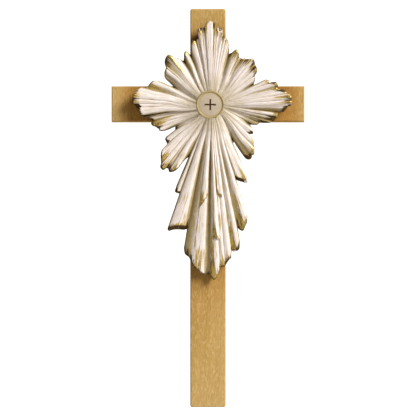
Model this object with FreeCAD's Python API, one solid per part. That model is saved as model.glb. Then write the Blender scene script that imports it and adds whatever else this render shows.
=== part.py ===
import FreeCAD, Part

import math
import os

# Wall cross: two half-lapped wooden bars, a carved fan of rays screwed on from behind,
# a turned medallion at its hub, a ring hanger and wall pads on the back.
# Millimetres. The origin is the middle of the upright's foot end, +Z is up and the front faces -Y.

os.makedirs("parts", exist_ok=True)

Vec = FreeCAD.Vector

# --- bars ---
CROSS_HEIGHT = 320.0
CROSS_WIDTH = 155.0
BAR_WIDTH = 28.5
BAR_DEPTH = 15.0
CROSSBAR_HEIGHT = 243.6      # middle of the crossbar above the foot
UPRIGHT_CORNER = 1.8         # corners of the upright's ends, seen from the front; the arms' are crisp
EDGE_RADIUS = 1.0            # sanded edges of the front and back faces
GLUE_GAP = 0.05              # glue line in the lap joint
FRONT_Y = -BAR_DEPTH / 2
BACK_Y = BAR_DEPTH / 2

# --- carved relief ---
HUB_X = 2.7                  # the rays meet a little right of the bars' middle
HUB_Z = 242.1
HUB_HEIGHT = 11.0            # height of the hub above the bars' front face
HUB_SPREAD = 14.0
DISH_HEIGHT = 9.0            # the lowest crests, round the hub
STAR_HEIGHT = 11.0           # the star's lobes rise to this at STAR_REACH
STAR_REACH = 60.0
CASCADE_MIDDLE = 177.0       # degrees
CASCADE_HALF = 30.0
CASCADE_HEIGHT = 11.6        # the cascade is highest at CASCADE_TOP and arched from side to side
CASCADE_TOP = 62.0
CASCADE_END_HEIGHT = 7.5     # and falls to this at CASCADE_REACH
CASCADE_REACH = 135.0
CASCADE_ARCH = 1.0           # how much lower its sides are than its middle
FOLD_REACH = 46.0            # radius at which a fold has its full depth
FOLD_GROWTH = 2.0            # how quickly a fold deepens on its way there
FOLD_MOST = 1.15             # further out it deepens on, up to this many times its depth
FOLD_DEPTH = 0.7             # a fold listed as 1 mm deep is this deep in fact
FOLD_POWER = 1.5             # and deeper ones deepen faster than their listed depth
LIFT_REACH = 40.0            # radius at which a ray has its full lift
THINNEST = 1.8
LIP = 2.2                    # thickness of the rim's edge
UNDERCUT = 4.0               # the back outline lies this far inside the front one
STATION_RADII = (7.0, 14.0, 24.0, 36.0, 50.0, 66.0, 84.0, 104.0, 122.0)
STATION_CLEARANCE = 2.5      # a station this near the rim is left out

# --- medallion ---
MEDALLION_X = 1.8            # it sits a little left of the place where the rays meet
MEDALLION_Z = 242.4
RIM_RADIUS = 11.35
RIM_WIDTH = 1.7
RIM_HEIGHT = 2.6             # above the socket's floor
DISC_CROWN = 0.5             # rise of the domed face
DISC_EDGE = 2.0              # thickness at the disc's edge
DISC_GAP = 0.05
SEAT_HEIGHT = 7.8            # floor of the socket above the bars' front face
EMBLEM_SPAN = 9.0            # engraved plain cross
EMBLEM_STROKE = 1.2
EMBLEM_DEPTH = 0.5
RIM_EASE = 0.5               # chamfer on the rim's edges

# --- relief screws, driven from behind ---
SCREW_RADIUS = 1.75
SCREW_HEAD_RADIUS = 3.4
SCREW_HEAD_DEPTH = 2.4
SCREW_REACH = 5.5            # how far the point goes into the relief
SCREW_POINT = 1.5
SCREW_TIP_RADIUS = 0.1
COUNTERBORE_RADIUS = 4.0
COUNTERBORE_DEPTH = 4.0
CLEARANCE_RADIUS = 2.0
PILOT_GAP = 0.02
SCREW_PLACES = ((HUB_X, HUB_Z), (0.0, 270.0), (0.0, 160.0))
DRIVE_SPAN = 3.6             # cross recess in the head
DRIVE_STROKE = 0.8
DRIVE_DEPTH = 1.2

# --- ring hanger ---
HINGE_Z = 301.0
WIRE_RADIUS = 0.8
EYE_CLEARANCE = 0.07
STRAP_THICKNESS = 0.8
STRAP_WIDTH = 9.6
STRAP_LENGTH = 22.0          # from the hinge down to the strap's rounded end
EYE_RADIUS = WIRE_RADIUS + EYE_CLEARANCE + STRAP_THICKNESS
HINGE_Y = BACK_Y + EYE_RADIUS
RING_WIDTH = 13.0            # over the wire's middle line
RING_HEIGHT = 12.0
RING_CORNER = 1.8
RING_LIFT_OFF = 0.12         # gap between the leaning ring and the wood
HANGER_SCREW_DROPS = (7.5, 17.0)
HANGER_SCREW_RADIUS = 1.25
HANGER_HEAD_RADIUS = 2.3
HANGER_HEAD_HEIGHT = 1.5
HANGER_SCREW_LENGTH = 9.0    # depth of its pilot hole
PILOT_SPARE = 0.5            # the screw ends this far short of the hole's end
SLOT_WIDTH = 0.6
SLOT_DEPTH = 0.7
CURL_GAP = 0.3               # slit between the strap's curled end and its plate

# --- wall pads ---
PAD_RADIUS = 4.75
PAD_THICKNESS = 3.5
PAD_EDGE = 0.4
PAD_PLACES = ((-66.0, CROSSBAR_HEIGHT), (66.0, CROSSBAR_HEIGHT), (-7.5, 12.0), (7.5, 12.0))

# Rays in clockwise order from the top. Each has its lift above its neighbours, the length of its sloping
# end, and its folds: (compass angle in degrees, radius of the outline, depth of the fold below the crest).
RAYS = (
    # top lobe
    (-0.5, 0.6, ((-22.5, 43.5, 2.0), (-20.0, 47.0, 1.0), (-17.5, 52.2, 0.2), (-15.6, 53.6, 0.0),
                 (-14.3, 53.0, 0.5), (-13.6, 52.0, 1.6))),
    (-1.2, 0.6, ((-13.3, 53.0, 1.4), (-12.0, 54.0, 0.6), (-10.7, 55.0, 1.0))),
    (0.0, 2.4, ((-10.4, 61.5, 0.8), (-9.2, 62.0, 0.0), (-7.8, 62.3, 0.5), (-6.5, 62.6, 0.0),
                (-5.4, 62.0, 0.9))),
    (0.9, 0.5, ((-5.1, 62.4, 1.0), (-4.2, 64.6, 0.4), (-3.0, 65.6, 0.1), (-1.0, 66.8, 0.0), (0.8, 66.4, 0.3),
                (1.7, 65.0, 1.2), (2.6, 66.2, 0.1), (3.4, 65.2, 0.8))),
    (0.0, 2.4, ((3.7, 62.0, 1.1), (4.8, 62.2, 0.1), (6.2, 62.0, 0.7), (8.0, 61.5, 0.0), (9.1, 57.5, 0.9))),
    (-0.4, 0.8, ((9.4, 56.0, 1.0), (11.0, 55.4, 0.1), (12.3, 54.8, 0.6), (14.0, 53.6, 0.0),
                 (15.5, 51.5, 0.5), (17.0, 48.5, 1.0), (18.5, 44.2, 2.0))),
    # upper right lobe
    (-0.3, 0.6, ((18.9, 43.4, 2.4), (21.0, 45.0, 1.7), (24.2, 48.8, 0.5), (26.0, 48.2, 0.0),
                 (28.0, 46.5, 0.4), (29.2, 45.0, 1.5))),
    (-1.2, 0.6, ((29.5, 44.6, 1.5), (31.0, 44.2, 1.0), (33.0, 44.6, 1.7), (35.5, 46.0, 0.1),
                 (37.2, 46.0, 1.0))),
    (0.0, 0.8, ((37.5, 46.5, 1.0), (40.0, 48.3, 0.2), (41.7, 49.8, 0.9), (44.0, 49.2, 0.0),
                (46.5, 48.0, 1.2))),
    (-0.4, 0.7, ((46.9, 47.6, 1.2), (48.5, 47.3, 0.9), (51.5, 46.8, 0.1), (54.0, 44.8, 0.7),
                 (55.1, 43.0, 1.2))),
    (-1.0, 0.5, ((55.4, 42.4, 1.1), (57.0, 41.6, 0.2), (60.0, 40.2, 0.7), (62.0, 38.8, 1.4),
                 (64.1, 37.6, 2.4))),
    # right lobe
    (0.2, 0.8, ((64.4, 48.0, 1.9), (66.7, 49.8, 0.1), (68.9, 49.4, 0.9))),
    (0.0, 1.0, ((69.2, 52.2, 0.9), (70.9, 55.2, 0.2), (74.2, 55.4, 1.5), (76.2, 55.0, 0.8))),
    (0.6, 1.0, ((76.5, 56.0, 0.8), (78.8, 59.8, 0.9), (80.5, 61.5, 0.4), (81.7, 62.2, 0.8))),
    (1.2, 0.5, ((82.0, 62.8, 0.9), (84.0, 64.2, 0.0), (85.7, 64.2, 0.3), (86.4, 64.0, 1.0),
                (88.2, 64.2, 0.0), (90.6, 63.2, 0.8))),
    (0.8, 1.2, ((90.9, 61.0, 0.7), (92.6, 60.0, 0.9), (94.2, 58.8, 1.5), (95.3, 58.0, 1.9))),
    (0.2, 0.6, ((95.8, 54.0, 2.0), (96.6, 53.4, 1.2), (98.3, 53.6, 0.0), (99.9, 53.4, 0.9))),
    (0.0, 1.6, ((100.2, 52.8, 1.5), (102.0, 52.4, 1.0), (104.2, 51.2, 1.5))),
    (-0.5, 1.6, ((104.5, 50.6, 1.5), (106.0, 49.6, 0.9), (107.5, 46.5, 1.2), (109.5, 41.4, 1.9))),
    (-0.8, 0.6, ((109.8, 40.8, 1.8), (111.5, 40.4, 0.9), (113.0, 39.6, 0.8), (115.8, 35.2, 2.3))),
    # lower right lobe
    (0.0, 1.2, ((116.4, 34.6, 2.3), (119.0, 37.0, 1.1), (121.5, 39.4, 0.1), (124.5, 40.2, 0.7),
                (127.2, 37.8, 1.0))),
    (0.4, 0.5, ((127.6, 38.2, 1.2), (130.0, 43.8, 0.4), (132.2, 45.6, 0.0), (134.8, 48.4, 1.0),
                (137.0, 50.2, 0.3), (139.2, 52.0, 0.6), (141.3, 51.4, 1.4))),
    (0.0, 2.0, ((141.6, 52.4, 1.4), (143.6, 53.2, 1.5), (145.5, 52.6, 1.2), (147.3, 50.0, 2.0),
                (147.9, 42.0, 2.4), (148.3, 34.0, 2.8))),
    # cascade
    (0.3, 2.8, ((150.2, 35.0, 2.2), (151.5, 45.0, 1.4), (152.9, 59.0, 0.7), (154.8, 68.2, 0.1),
                (156.2, 67.8, 0.3), (158.0, 66.0, 0.6), (160.0, 64.4, 0.4), (161.6, 62.6, 1.4))),
    (0.5, 0.8, ((162.1, 93.6, 1.3), (163.1, 97.8, 0.3), (164.0, 99.5, 0.0), (166.0, 103.4, 1.1),
                (166.9, 102.6, 1.5), (167.9, 100.2, 1.6))),
    (0.3, 1.6, ((168.2, 110.6, 1.5), (168.9, 116.6, 0.4), (169.7, 118.0, 0.0), (171.1, 118.3, 1.0),
                (172.1, 117.6, 1.4))),
    (0.6, 0.6, ((172.6, 123.0, 0.9), (173.6, 124.6, 0.0), (174.5, 127.0, 0.3), (175.1, 128.6, 0.8))),
    (0.7, 0.6, ((175.4, 129.4, 0.5), (176.2, 129.2, 0.0), (177.0, 129.6, 0.9))),
    (1.0, 0.4, ((177.3, 133.0, 0.9), (178.3, 137.4, 0.0), (179.0, 139.8, 0.5), (180.0, 137.0, 1.1))),
    (0.4, 0.5, ((180.3, 135.5, 1.3), (181.4, 135.2, 2.0), (182.4, 135.2, 1.3), (183.4, 134.0, 0.4),
                (185.0, 132.0, 0.0), (186.4, 129.0, 0.3), (187.4, 126.2, 0.9), (188.3, 123.0, 1.3),
                (190.2, 120.4, 1.9), (190.9, 116.0, 2.4))),
    (0.0, 3.0, ((191.2, 100.8, 2.2), (192.6, 102.0, 1.2), (194.2, 102.4, 0.4), (195.6, 103.0, 0.0),
                (197.4, 104.4, 0.4), (198.8, 106.0, 0.9), (199.6, 104.8, 1.6))),
    (-0.4, 1.2, ((199.9, 75.0, 1.3), (201.5, 75.4, 0.2), (203.0, 74.8, 1.2), (203.5, 70.0, 1.8))),
    # lower left lobe
    (0.0, 0.9, ((203.9, 45.4, 2.6), (205.1, 46.8, 2.0), (206.5, 50.6, 1.3), (208.0, 57.6, 0.6),
                (210.0, 61.4, 0.1), (212.3, 63.0, 0.8), (213.5, 62.0, 1.6))),
    (-0.6, 0.5, ((213.8, 61.6, 1.4), (214.8, 61.4, 1.2), (215.8, 61.9, 1.4))),
    (0.5, 0.8, ((216.1, 63.6, 1.0), (217.0, 64.8, 0.7), (218.6, 64.6, 0.0), (220.0, 63.4, 0.3),
                (220.8, 61.3, 1.2))),
    (0.3, 0.6, ((221.1, 61.1, 0.9), (223.0, 59.1, 0.0), (226.0, 56.1, 0.2), (228.0, 52.9, 1.0),
                (228.6, 48.0, 1.6))),
    (0.0, 1.0, ((228.9, 46.8, 1.2), (231.0, 46.4, 0.1), (233.5, 46.0, 0.3), (235.3, 43.6, 1.3),
                (236.0, 35.0, 2.4))),
    # left lobe
    (0.0, 0.5, ((240.0, 33.4, 2.8), (240.6, 39.0, 2.0), (241.8, 43.4, 1.1), (244.0, 46.2, 0.1),
                (246.1, 46.0, 1.2))),
    (-0.2, 1.2, ((246.4, 46.6, 1.1), (248.5, 47.6, 0.3), (250.2, 49.2, 1.2))),
    (0.2, 0.8, ((250.5, 49.6, 1.1), (252.7, 50.4, 0.0), (254.7, 49.2, 1.3))),
    (-1.4, 0.5, ((255.0, 48.6, 1.5), (257.0, 48.8, 0.6), (258.5, 51.0, 1.0), (260.0, 54.0, 0.7),
                 (261.2, 56.4, 1.8))),
    (0.9, 0.5, ((261.6, 56.8, 1.4), (263.0, 57.2, 0.5), (265.5, 57.8, 0.0), (267.0, 57.8, 0.2),
                (267.8, 58.6, 0.9))),
    (0.3, 3.6, ((268.1, 59.6, 0.9), (269.8, 60.8, 0.3), (271.1, 62.0, 0.9))),
    (0.6, 0.6, ((271.4, 63.0, 0.7), (273.2, 63.2, 0.1), (274.7, 63.2, 0.8))),
    (0.8, 0.5, ((275.1, 63.2, 0.7), (277.5, 63.0, 0.0), (279.8, 61.2, 0.5))),
    (0.4, 0.5, ((280.1, 60.8, 0.5), (282.0, 59.8, 0.2), (284.5, 57.0, 1.3))),
    (-0.5, 0.5, ((284.8, 54.0, 1.3), (286.5, 53.0, 1.2), (288.5, 52.4, 1.0), (290.2, 51.8, 0.4),
                 (292.3, 50.8, 0.0), (294.0, 48.4, 0.8), (295.0, 44.0, 1.6), (295.4, 34.0, 2.6))),
    # upper left lobe
    (-0.8, 0.6, ((297.0, 34.2, 2.4), (298.5, 38.0, 1.6), (300.0, 42.0, 1.0), (301.5, 44.0, 0.6),
                 (304.0, 45.2, 1.1))),
    (-0.3, 0.5, ((304.4, 45.6, 1.0), (307.0, 46.4, 0.2), (309.5, 46.8, 1.0))),
    (0.2, 0.8, ((309.8, 47.4, 1.1), (312.0, 50.2, 1.5), (315.0, 52.2, 1.3), (318.2, 53.0, 0.3),
                (319.5, 53.0, 0.0), (320.6, 51.6, 0.4))),
    (0.1, 0.5, ((321.0, 50.6, 0.5), (322.6, 47.6, 0.2), (325.0, 45.4, 0.4), (327.0, 42.6, 2.1))),
    (0.0, 0.6, ((328.4, 42.2, 2.4), (330.5, 44.5, 1.3), (332.3, 46.8, 0.3), (333.8, 47.8, 0.0),
                (335.6, 47.0, 0.6), (336.9, 44.4, 2.0))),
)


def box(x0, x1, y0, y1, z0, z1):
    return Part.makeBox(x1 - x0, y1 - y0, z1 - z0, Vec(x0, y0, z0))


def rod(radius, length, start, direction):
    return Part.makeCylinder(radius, length, start, direction)


def from_front(height):
    """The Y of a point at this height above the bars' front face."""
    return FRONT_Y - height


def eased_bar(x0, x1, z0, z1, corner=0.0):
    """A bar with sanded front and back edges, and rounded end corners where a radius is given."""
    bar = box(x0, x1, FRONT_Y, BACK_Y, z0, z1)
    if corner:
        bar = bar.makeFillet(corner, [e for e in bar.Edges if abs(e.tangentAt(e.FirstParameter).y) > 0.99])
    faces = [f for f in bar.Faces if abs(f.normalAt(0, 0).y) > 0.99]
    return bar.makeFillet(EDGE_RADIUS, [e for f in faces for e in f.Edges])


def screw_passages():
    """Clearance holes and counterbores for the relief screws, through both bars."""
    tools = []
    for x, z in SCREW_PLACES:
        tools.append(rod(CLEARANCE_RADIUS, BAR_DEPTH + 2, Vec(x, BACK_Y + 1, z), Vec(0, -1, 0)))
        tools.append(rod(COUNTERBORE_RADIUS, COUNTERBORE_DEPTH + 1, Vec(x, BACK_Y + 1, z), Vec(0, -1, 0)))
        floor = BACK_Y - COUNTERBORE_DEPTH
        tools.append(Part.makeCone(SCREW_HEAD_RADIUS, CLEARANCE_RADIUS,
                                   SCREW_HEAD_DEPTH * (SCREW_HEAD_RADIUS - CLEARANCE_RADIUS)
                                   / (SCREW_HEAD_RADIUS - SCREW_RADIUS),
                                   Vec(x, floor, z), Vec(0, -1, 0)))
    return tools


def upright_beam():
    """The upright runs through at the front: its back half is cut away for the crossbar."""
    half = BAR_WIDTH / 2
    beam = eased_bar(-half, half, 0, CROSS_HEIGHT, UPRIGHT_CORNER)
    lap = half + GLUE_GAP
    beam = beam.cut(box(-half - 1, half + 1, 0, BACK_Y + 1, CROSSBAR_HEIGHT - lap, CROSSBAR_HEIGHT + lap))
    for drop in HANGER_SCREW_DROPS:
        start = Vec(0, BACK_Y + 1, HINGE_Z - drop)
        beam = beam.cut(rod(HANGER_SCREW_RADIUS + PILOT_GAP, HANGER_SCREW_LENGTH + 1, start, Vec(0, -1, 0)))
    return beam.cut(screw_passages())


def crossbar():
    half = BAR_WIDTH / 2
    bar = eased_bar(-CROSS_WIDTH / 2, CROSS_WIDTH / 2, CROSSBAR_HEIGHT - half, CROSSBAR_HEIGHT + half)
    lap = half + GLUE_GAP
    notch = box(-lap, lap, FRONT_Y - 1, GLUE_GAP, CROSSBAR_HEIGHT - half - 1, CROSSBAR_HEIGHT + half + 1)
    return bar.cut(notch).cut(screw_passages())


def crown(angle, radius):
    """Height of the rays' crests above the bars: a dished star, and an arched cascade below it."""
    away = abs((angle - CASCADE_MIDDLE + 180) % 360 - 180)
    share = max(0.0, 1 - (away / CASCADE_HALF) ** 4)
    hub = (HUB_HEIGHT - DISH_HEIGHT) * math.exp(-(radius / HUB_SPREAD) ** 2)
    star = DISH_HEIGHT + (STAR_HEIGHT - DISH_HEIGHT) * (radius / STAR_REACH) ** 2
    if radius < CASCADE_TOP:
        drop = (CASCADE_HEIGHT - DISH_HEIGHT) * (1 - radius / CASCADE_TOP) ** 2
    else:
        drop = ((CASCADE_HEIGHT - CASCADE_END_HEIGHT)
                * ((radius - CASCADE_TOP) / (CASCADE_REACH - CASCADE_TOP)) ** 2)
    cascade = CASCADE_HEIGHT - drop - CASCADE_ARCH * (away / CASCADE_HALF) ** 2
    return hub + star * (1 - share) + cascade * share


def relief_column(angle, rim, depth, lift, end):
    """Points of the carved surface along one direction, from near the hub out to the rim."""
    top_end = rim - end
    radii = [r for r in STATION_RADII if r < top_end - STATION_CLEARANCE] + [top_end]
    reach = Vec(math.sin(math.radians(angle)), 0, math.cos(math.radians(angle)))
    hub = Vec(HUB_X, 0, HUB_Z)
    points = []
    for radius in radii:
        height = crown(angle, radius) + lift * min(1.0, radius / LIFT_REACH)
        height -= (FOLD_DEPTH * depth ** FOLD_POWER
                   * min(FOLD_MOST, (radius / FOLD_REACH) ** FOLD_GROWTH))
        points.append((radius, hub + reach * radius + Vec(0, from_front(max(THINNEST, height)), 0)))
    last = max(THINNEST, height - end)
    points.append((rim, hub + reach * rim + Vec(0, from_front(last), 0)))
    lip = hub + reach * rim + Vec(0, from_front(max(last - LIP, last / 2)), 0)
    foot = hub + reach * (rim - UNDERCUT) + Vec(0, FRONT_Y, 0)
    return points, lip, foot


def strip(left, right):
    """Triangles between two neighbouring columns, taken outwards in order of radius."""
    i, j, triangles = 0, 0, []
    while i < len(left) - 1 or j < len(right) - 1:
        take_left = j == len(right) - 1 or (i < len(left) - 1 and left[i + 1][0] <= right[j + 1][0])
        nearer = left[i + 1][1] if take_left else right[j + 1][1]
        triangles.append((left[i][1], right[j][1], nearer))
        i, j = (i + 1, j) if take_left else (i, j + 1)
    return triangles


def ray_relief():
    """One carved solid: folded rays on top, thin undercut sides and a flat back."""
    columns = [relief_column(a, r, d, lift, end) for lift, end, folds in RAYS for a, r, d in folds]
    peak = Vec(HUB_X, from_front(HUB_HEIGHT), HUB_Z)
    triangles = []
    for k, (left, left_lip, left_foot) in enumerate(columns):
        right, right_lip, right_foot = columns[(k + 1) % len(columns)]
        triangles.append((peak, left[0][1], right[0][1]))
        triangles += strip(left, right)
        rings = ((left[-1][1], right[-1][1]), (left_lip, right_lip), (left_foot, right_foot))
        for (a, b), (c, d) in zip(rings, rings[1:]):
            triangles += [(a, c, b), (b, c, d)]
    faces = [Part.Face(Part.makePolygon([a, b, c, a])) for a, b, c in triangles]
    feet = [column[2] for column in columns]
    faces.append(Part.Face(Part.makePolygon(feet + feet[:1])))
    relief = Part.makeSolid(Part.Shell(faces))
    if relief.Volume < 0:
        relief.reverse()
    start = Vec(MEDALLION_X, from_front(SEAT_HEIGHT), MEDALLION_Z)
    relief = relief.cut(rod(RIM_RADIUS + DISC_GAP, HUB_HEIGHT, start, Vec(0, -1, 0)))
    pilot, forward = SCREW_RADIUS + PILOT_GAP, Vec(0, -1, 0)
    pilots = [rod(pilot, SCREW_REACH - SCREW_POINT + 1, Vec(x, FRONT_Y + 1, z), forward)
              for x, z in SCREW_PLACES]
    points = [Part.makeCone(pilot, SCREW_TIP_RADIUS, SCREW_POINT,
                            Vec(x, from_front(SCREW_REACH - SCREW_POINT), z), forward)
              for x, z in SCREW_PLACES]
    return relief.cut(pilots + points)


def turned(profile):
    """Turn a closed outline of (radius, height above the socket's floor) about the hub's axis."""
    points = [Vec(r, 0, h) for r, h in profile]
    solid = Part.Face(Part.makePolygon(points + points[:1])).revolve(Vec(), Vec(0, 0, 1), 360)
    solid.rotate(Vec(), Vec(1, 0, 0), 90)
    solid.translate(Vec(MEDALLION_X, from_front(SEAT_HEIGHT), MEDALLION_Z))
    return solid


def medallion_rim():
    outer, inner, ease = RIM_RADIUS, RIM_RADIUS - RIM_WIDTH, RIM_EASE
    return turned(((inner, 0), (outer, 0), (outer, RIM_HEIGHT - ease), (outer - ease, RIM_HEIGHT),
                   (inner + ease, RIM_HEIGHT), (inner, RIM_HEIGHT - ease)))


def medallion_disc():
    """A domed disc with a plain equal-armed cross engraved in it."""
    radius = RIM_RADIUS - RIM_WIDTH - DISC_GAP
    edge, middle = Vec(radius, 0, DISC_EDGE), Vec(0, 0, DISC_EDGE + DISC_CROWN)
    sphere = (radius ** 2 + DISC_CROWN ** 2) / (2 * DISC_CROWN)
    half_angle = math.asin(radius / sphere) / 2
    centre = middle - Vec(0, 0, sphere)
    between = centre + Vec(sphere * math.sin(half_angle), 0, sphere * math.cos(half_angle))
    outline = Part.Wire([
        Part.makeLine(Vec(0, 0, 0), Vec(radius, 0, 0)), Part.makeLine(Vec(radius, 0, 0), edge),
        Part.Arc(edge, between, middle).toShape(), Part.makeLine(middle, Vec(0, 0, 0))])
    disc = Part.Face(outline).revolve(Vec(), Vec(0, 0, 1), 360)
    disc.rotate(Vec(), Vec(1, 0, 0), 90)
    disc.translate(Vec(MEDALLION_X, from_front(SEAT_HEIGHT), MEDALLION_Z))
    floor = from_front(SEAT_HEIGHT + DISC_EDGE + DISC_CROWN - EMBLEM_DEPTH)
    for width, height in ((EMBLEM_STROKE, EMBLEM_SPAN), (EMBLEM_SPAN, EMBLEM_STROKE)):
        disc = disc.cut(box(MEDALLION_X - width / 2, MEDALLION_X + width / 2, floor - 5, floor,
                            MEDALLION_Z - height / 2, MEDALLION_Z + height / 2))
    return disc


def relief_screw(x, z):
    """Countersunk screw: its head's flat is at the counterbore's floor and its point is in the relief."""
    forward = Vec(0, -1, 0)
    seat = BACK_Y - COUNTERBORE_DEPTH
    tip = from_front(SCREW_REACH)
    shank_end = tip + SCREW_POINT
    head = Part.makeCone(SCREW_HEAD_RADIUS, SCREW_RADIUS, SCREW_HEAD_DEPTH, Vec(x, seat, z), forward)
    neck = seat - SCREW_HEAD_DEPTH
    shank = rod(SCREW_RADIUS, neck - shank_end, Vec(x, neck, z), forward)
    point = Part.makeCone(SCREW_RADIUS, SCREW_TIP_RADIUS, SCREW_POINT - PILOT_GAP,
                          Vec(x, shank_end, z), forward)
    screw = head.fuse([shank, point])
    for width, height in ((DRIVE_SPAN, DRIVE_STROKE), (DRIVE_STROKE, DRIVE_SPAN)):
        screw = screw.cut(box(x - width / 2, x + width / 2, seat - DRIVE_DEPTH, seat + 1,
                              z - height / 2, z + height / 2))
    return screw


def hanger_strap():
    """A strap that lies on the wood and curls round the ring's straight side."""
    half = STRAP_WIDTH / 2
    plate = box(-half, half, BACK_Y, BACK_Y + STRAP_THICKNESS, HINGE_Z - STRAP_LENGTH + half, HINGE_Z)
    end = rod(half, STRAP_THICKNESS, Vec(0, BACK_Y, HINGE_Z - STRAP_LENGTH + half), Vec(0, 1, 0))
    eye = rod(EYE_RADIUS, STRAP_WIDTH, Vec(-half, HINGE_Y, HINGE_Z), Vec(1, 0, 0))
    strap = plate.fuse([end, eye])
    strap = strap.cut(rod(WIRE_RADIUS + EYE_CLEARANCE, STRAP_WIDTH + 2, Vec(-half - 1, HINGE_Y, HINGE_Z),
                          Vec(1, 0, 0)))
    strap = strap.cut(box(-half - 1, half + 1, BACK_Y + STRAP_THICKNESS, BACK_Y + STRAP_THICKNESS + CURL_GAP,
                          HINGE_Z - EYE_RADIUS - 1, HINGE_Z - WIRE_RADIUS * 0.6))
    holes = [rod(HANGER_SCREW_RADIUS + DISC_GAP, 4, Vec(0, BACK_Y - 1, HINGE_Z - drop), Vec(0, 1, 0))
             for drop in HANGER_SCREW_DROPS]
    return strap.cut(holes)


def hanger_ring():
    """D-shaped wire ring. It stands up from the strap and leans back on the wood."""
    half, corner, top = RING_WIDTH / 2, RING_CORNER, RING_HEIGHT - RING_WIDTH / 2
    bend = corner * (1 - math.sqrt(0.5))
    path = Part.Wire([
        Part.makeLine(Vec(-half + corner, 0, 0), Vec(half - corner, 0, 0)),
        Part.Arc(Vec(half - corner, 0, 0), Vec(half - bend, 0, bend), Vec(half, 0, corner)).toShape(),
        Part.makeLine(Vec(half, 0, corner), Vec(half, 0, top)),
        Part.Arc(Vec(half, 0, top), Vec(0, 0, RING_HEIGHT), Vec(-half, 0, top)).toShape(),
        Part.makeLine(Vec(-half, 0, top), Vec(-half, 0, corner)),
        Part.Arc(Vec(-half, 0, corner), Vec(-half + bend, 0, bend), Vec(-half + corner, 0, 0)).toShape()])
    section = Part.Wire([Part.makeCircle(WIRE_RADIUS, Vec(-half + corner, 0, 0), Vec(1, 0, 0))])
    ring = path.makePipeShell([section], True, False)
    lean = math.degrees(math.asin((EYE_RADIUS - WIRE_RADIUS - RING_LIFT_OFF) / RING_HEIGHT))
    ring.rotate(Vec(), Vec(1, 0, 0), lean)
    ring.translate(Vec(0, HINGE_Y, HINGE_Z))
    return ring


def hanger_screw(drop):
    """Small slotted round-head screw through the strap."""
    centre = Vec(0, BACK_Y + STRAP_THICKNESS, HINGE_Z - drop)
    dome = (HANGER_HEAD_RADIUS ** 2 + HANGER_HEAD_HEIGHT ** 2) / (2 * HANGER_HEAD_HEIGHT)
    ball = Part.makeSphere(dome, centre + Vec(0, HANGER_HEAD_HEIGHT - dome, 0))
    head = ball.common(box(-5, 5, centre.y, centre.y + 5, centre.z - 5, centre.z + 5))
    reach = STRAP_THICKNESS + HANGER_SCREW_LENGTH - PILOT_SPARE
    shank = rod(HANGER_SCREW_RADIUS, reach, centre, Vec(0, -1, 0))
    slot = box(-5, 5, centre.y + HANGER_HEAD_HEIGHT - SLOT_DEPTH, centre.y + 5,
               centre.z - SLOT_WIDTH / 2, centre.z + SLOT_WIDTH / 2)
    return head.fuse(shank).cut(slot)


def wall_pad(x, z):
    pad = rod(PAD_RADIUS, PAD_THICKNESS, Vec(x, BACK_Y, z), Vec(0, 1, 0))
    outer = [e for e in pad.Edges if e.BoundBox.YMin > BACK_Y + PAD_THICKNESS - 0.01]
    return pad.makeFillet(PAD_EDGE, outer)


NODES = {
    "upright_beam": [upright_beam()],
    "crossbar": [crossbar()],
    "ray_relief": [ray_relief()],
    "medallion_rim": [medallion_rim()],
    "medallion_disc": [medallion_disc()],
    "relief_screws": [relief_screw(x, z) for x, z in SCREW_PLACES],
    "hanger_strap": [hanger_strap()],
    "hanger_ring": [hanger_ring()],
    "hanger_screws": [hanger_screw(drop) for drop in HANGER_SCREW_DROPS],
    "wall_pads": [wall_pad(x, z) for x, z in PAD_PLACES],
}

for name, solids in NODES.items():
    shape = solids[0] if len(solids) == 1 else Part.makeCompound(solids)
    shape.exportStep(f"parts/{name}.step")
    size = shape.BoundBox
    print(f"{name}: valid {shape.isValid()}, {len(shape.Solids)} solid(s), {len(shape.Faces)} faces, "
          f"{shape.Volume / 1000:.2f} cm3, {size.XLength:.1f} x {size.YLength:.1f} x {size.ZLength:.1f}")
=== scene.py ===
"""Wall cross with a carved ray relief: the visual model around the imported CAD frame."""
import math

import bpy
import numpy as np
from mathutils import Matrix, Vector


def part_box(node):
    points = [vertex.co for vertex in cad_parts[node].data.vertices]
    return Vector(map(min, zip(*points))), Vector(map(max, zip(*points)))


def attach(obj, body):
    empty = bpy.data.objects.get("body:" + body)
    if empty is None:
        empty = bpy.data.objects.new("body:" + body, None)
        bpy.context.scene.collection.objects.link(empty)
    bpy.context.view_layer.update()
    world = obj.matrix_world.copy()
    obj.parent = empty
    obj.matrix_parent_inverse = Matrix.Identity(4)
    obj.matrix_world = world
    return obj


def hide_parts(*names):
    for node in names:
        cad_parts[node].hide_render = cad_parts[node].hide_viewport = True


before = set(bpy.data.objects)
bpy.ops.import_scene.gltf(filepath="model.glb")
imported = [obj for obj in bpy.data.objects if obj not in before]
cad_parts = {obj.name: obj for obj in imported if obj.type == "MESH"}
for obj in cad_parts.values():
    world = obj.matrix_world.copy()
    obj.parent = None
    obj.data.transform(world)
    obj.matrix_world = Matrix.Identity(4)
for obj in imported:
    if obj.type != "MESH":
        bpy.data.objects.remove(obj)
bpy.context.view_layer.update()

MM = 0.001

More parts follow.
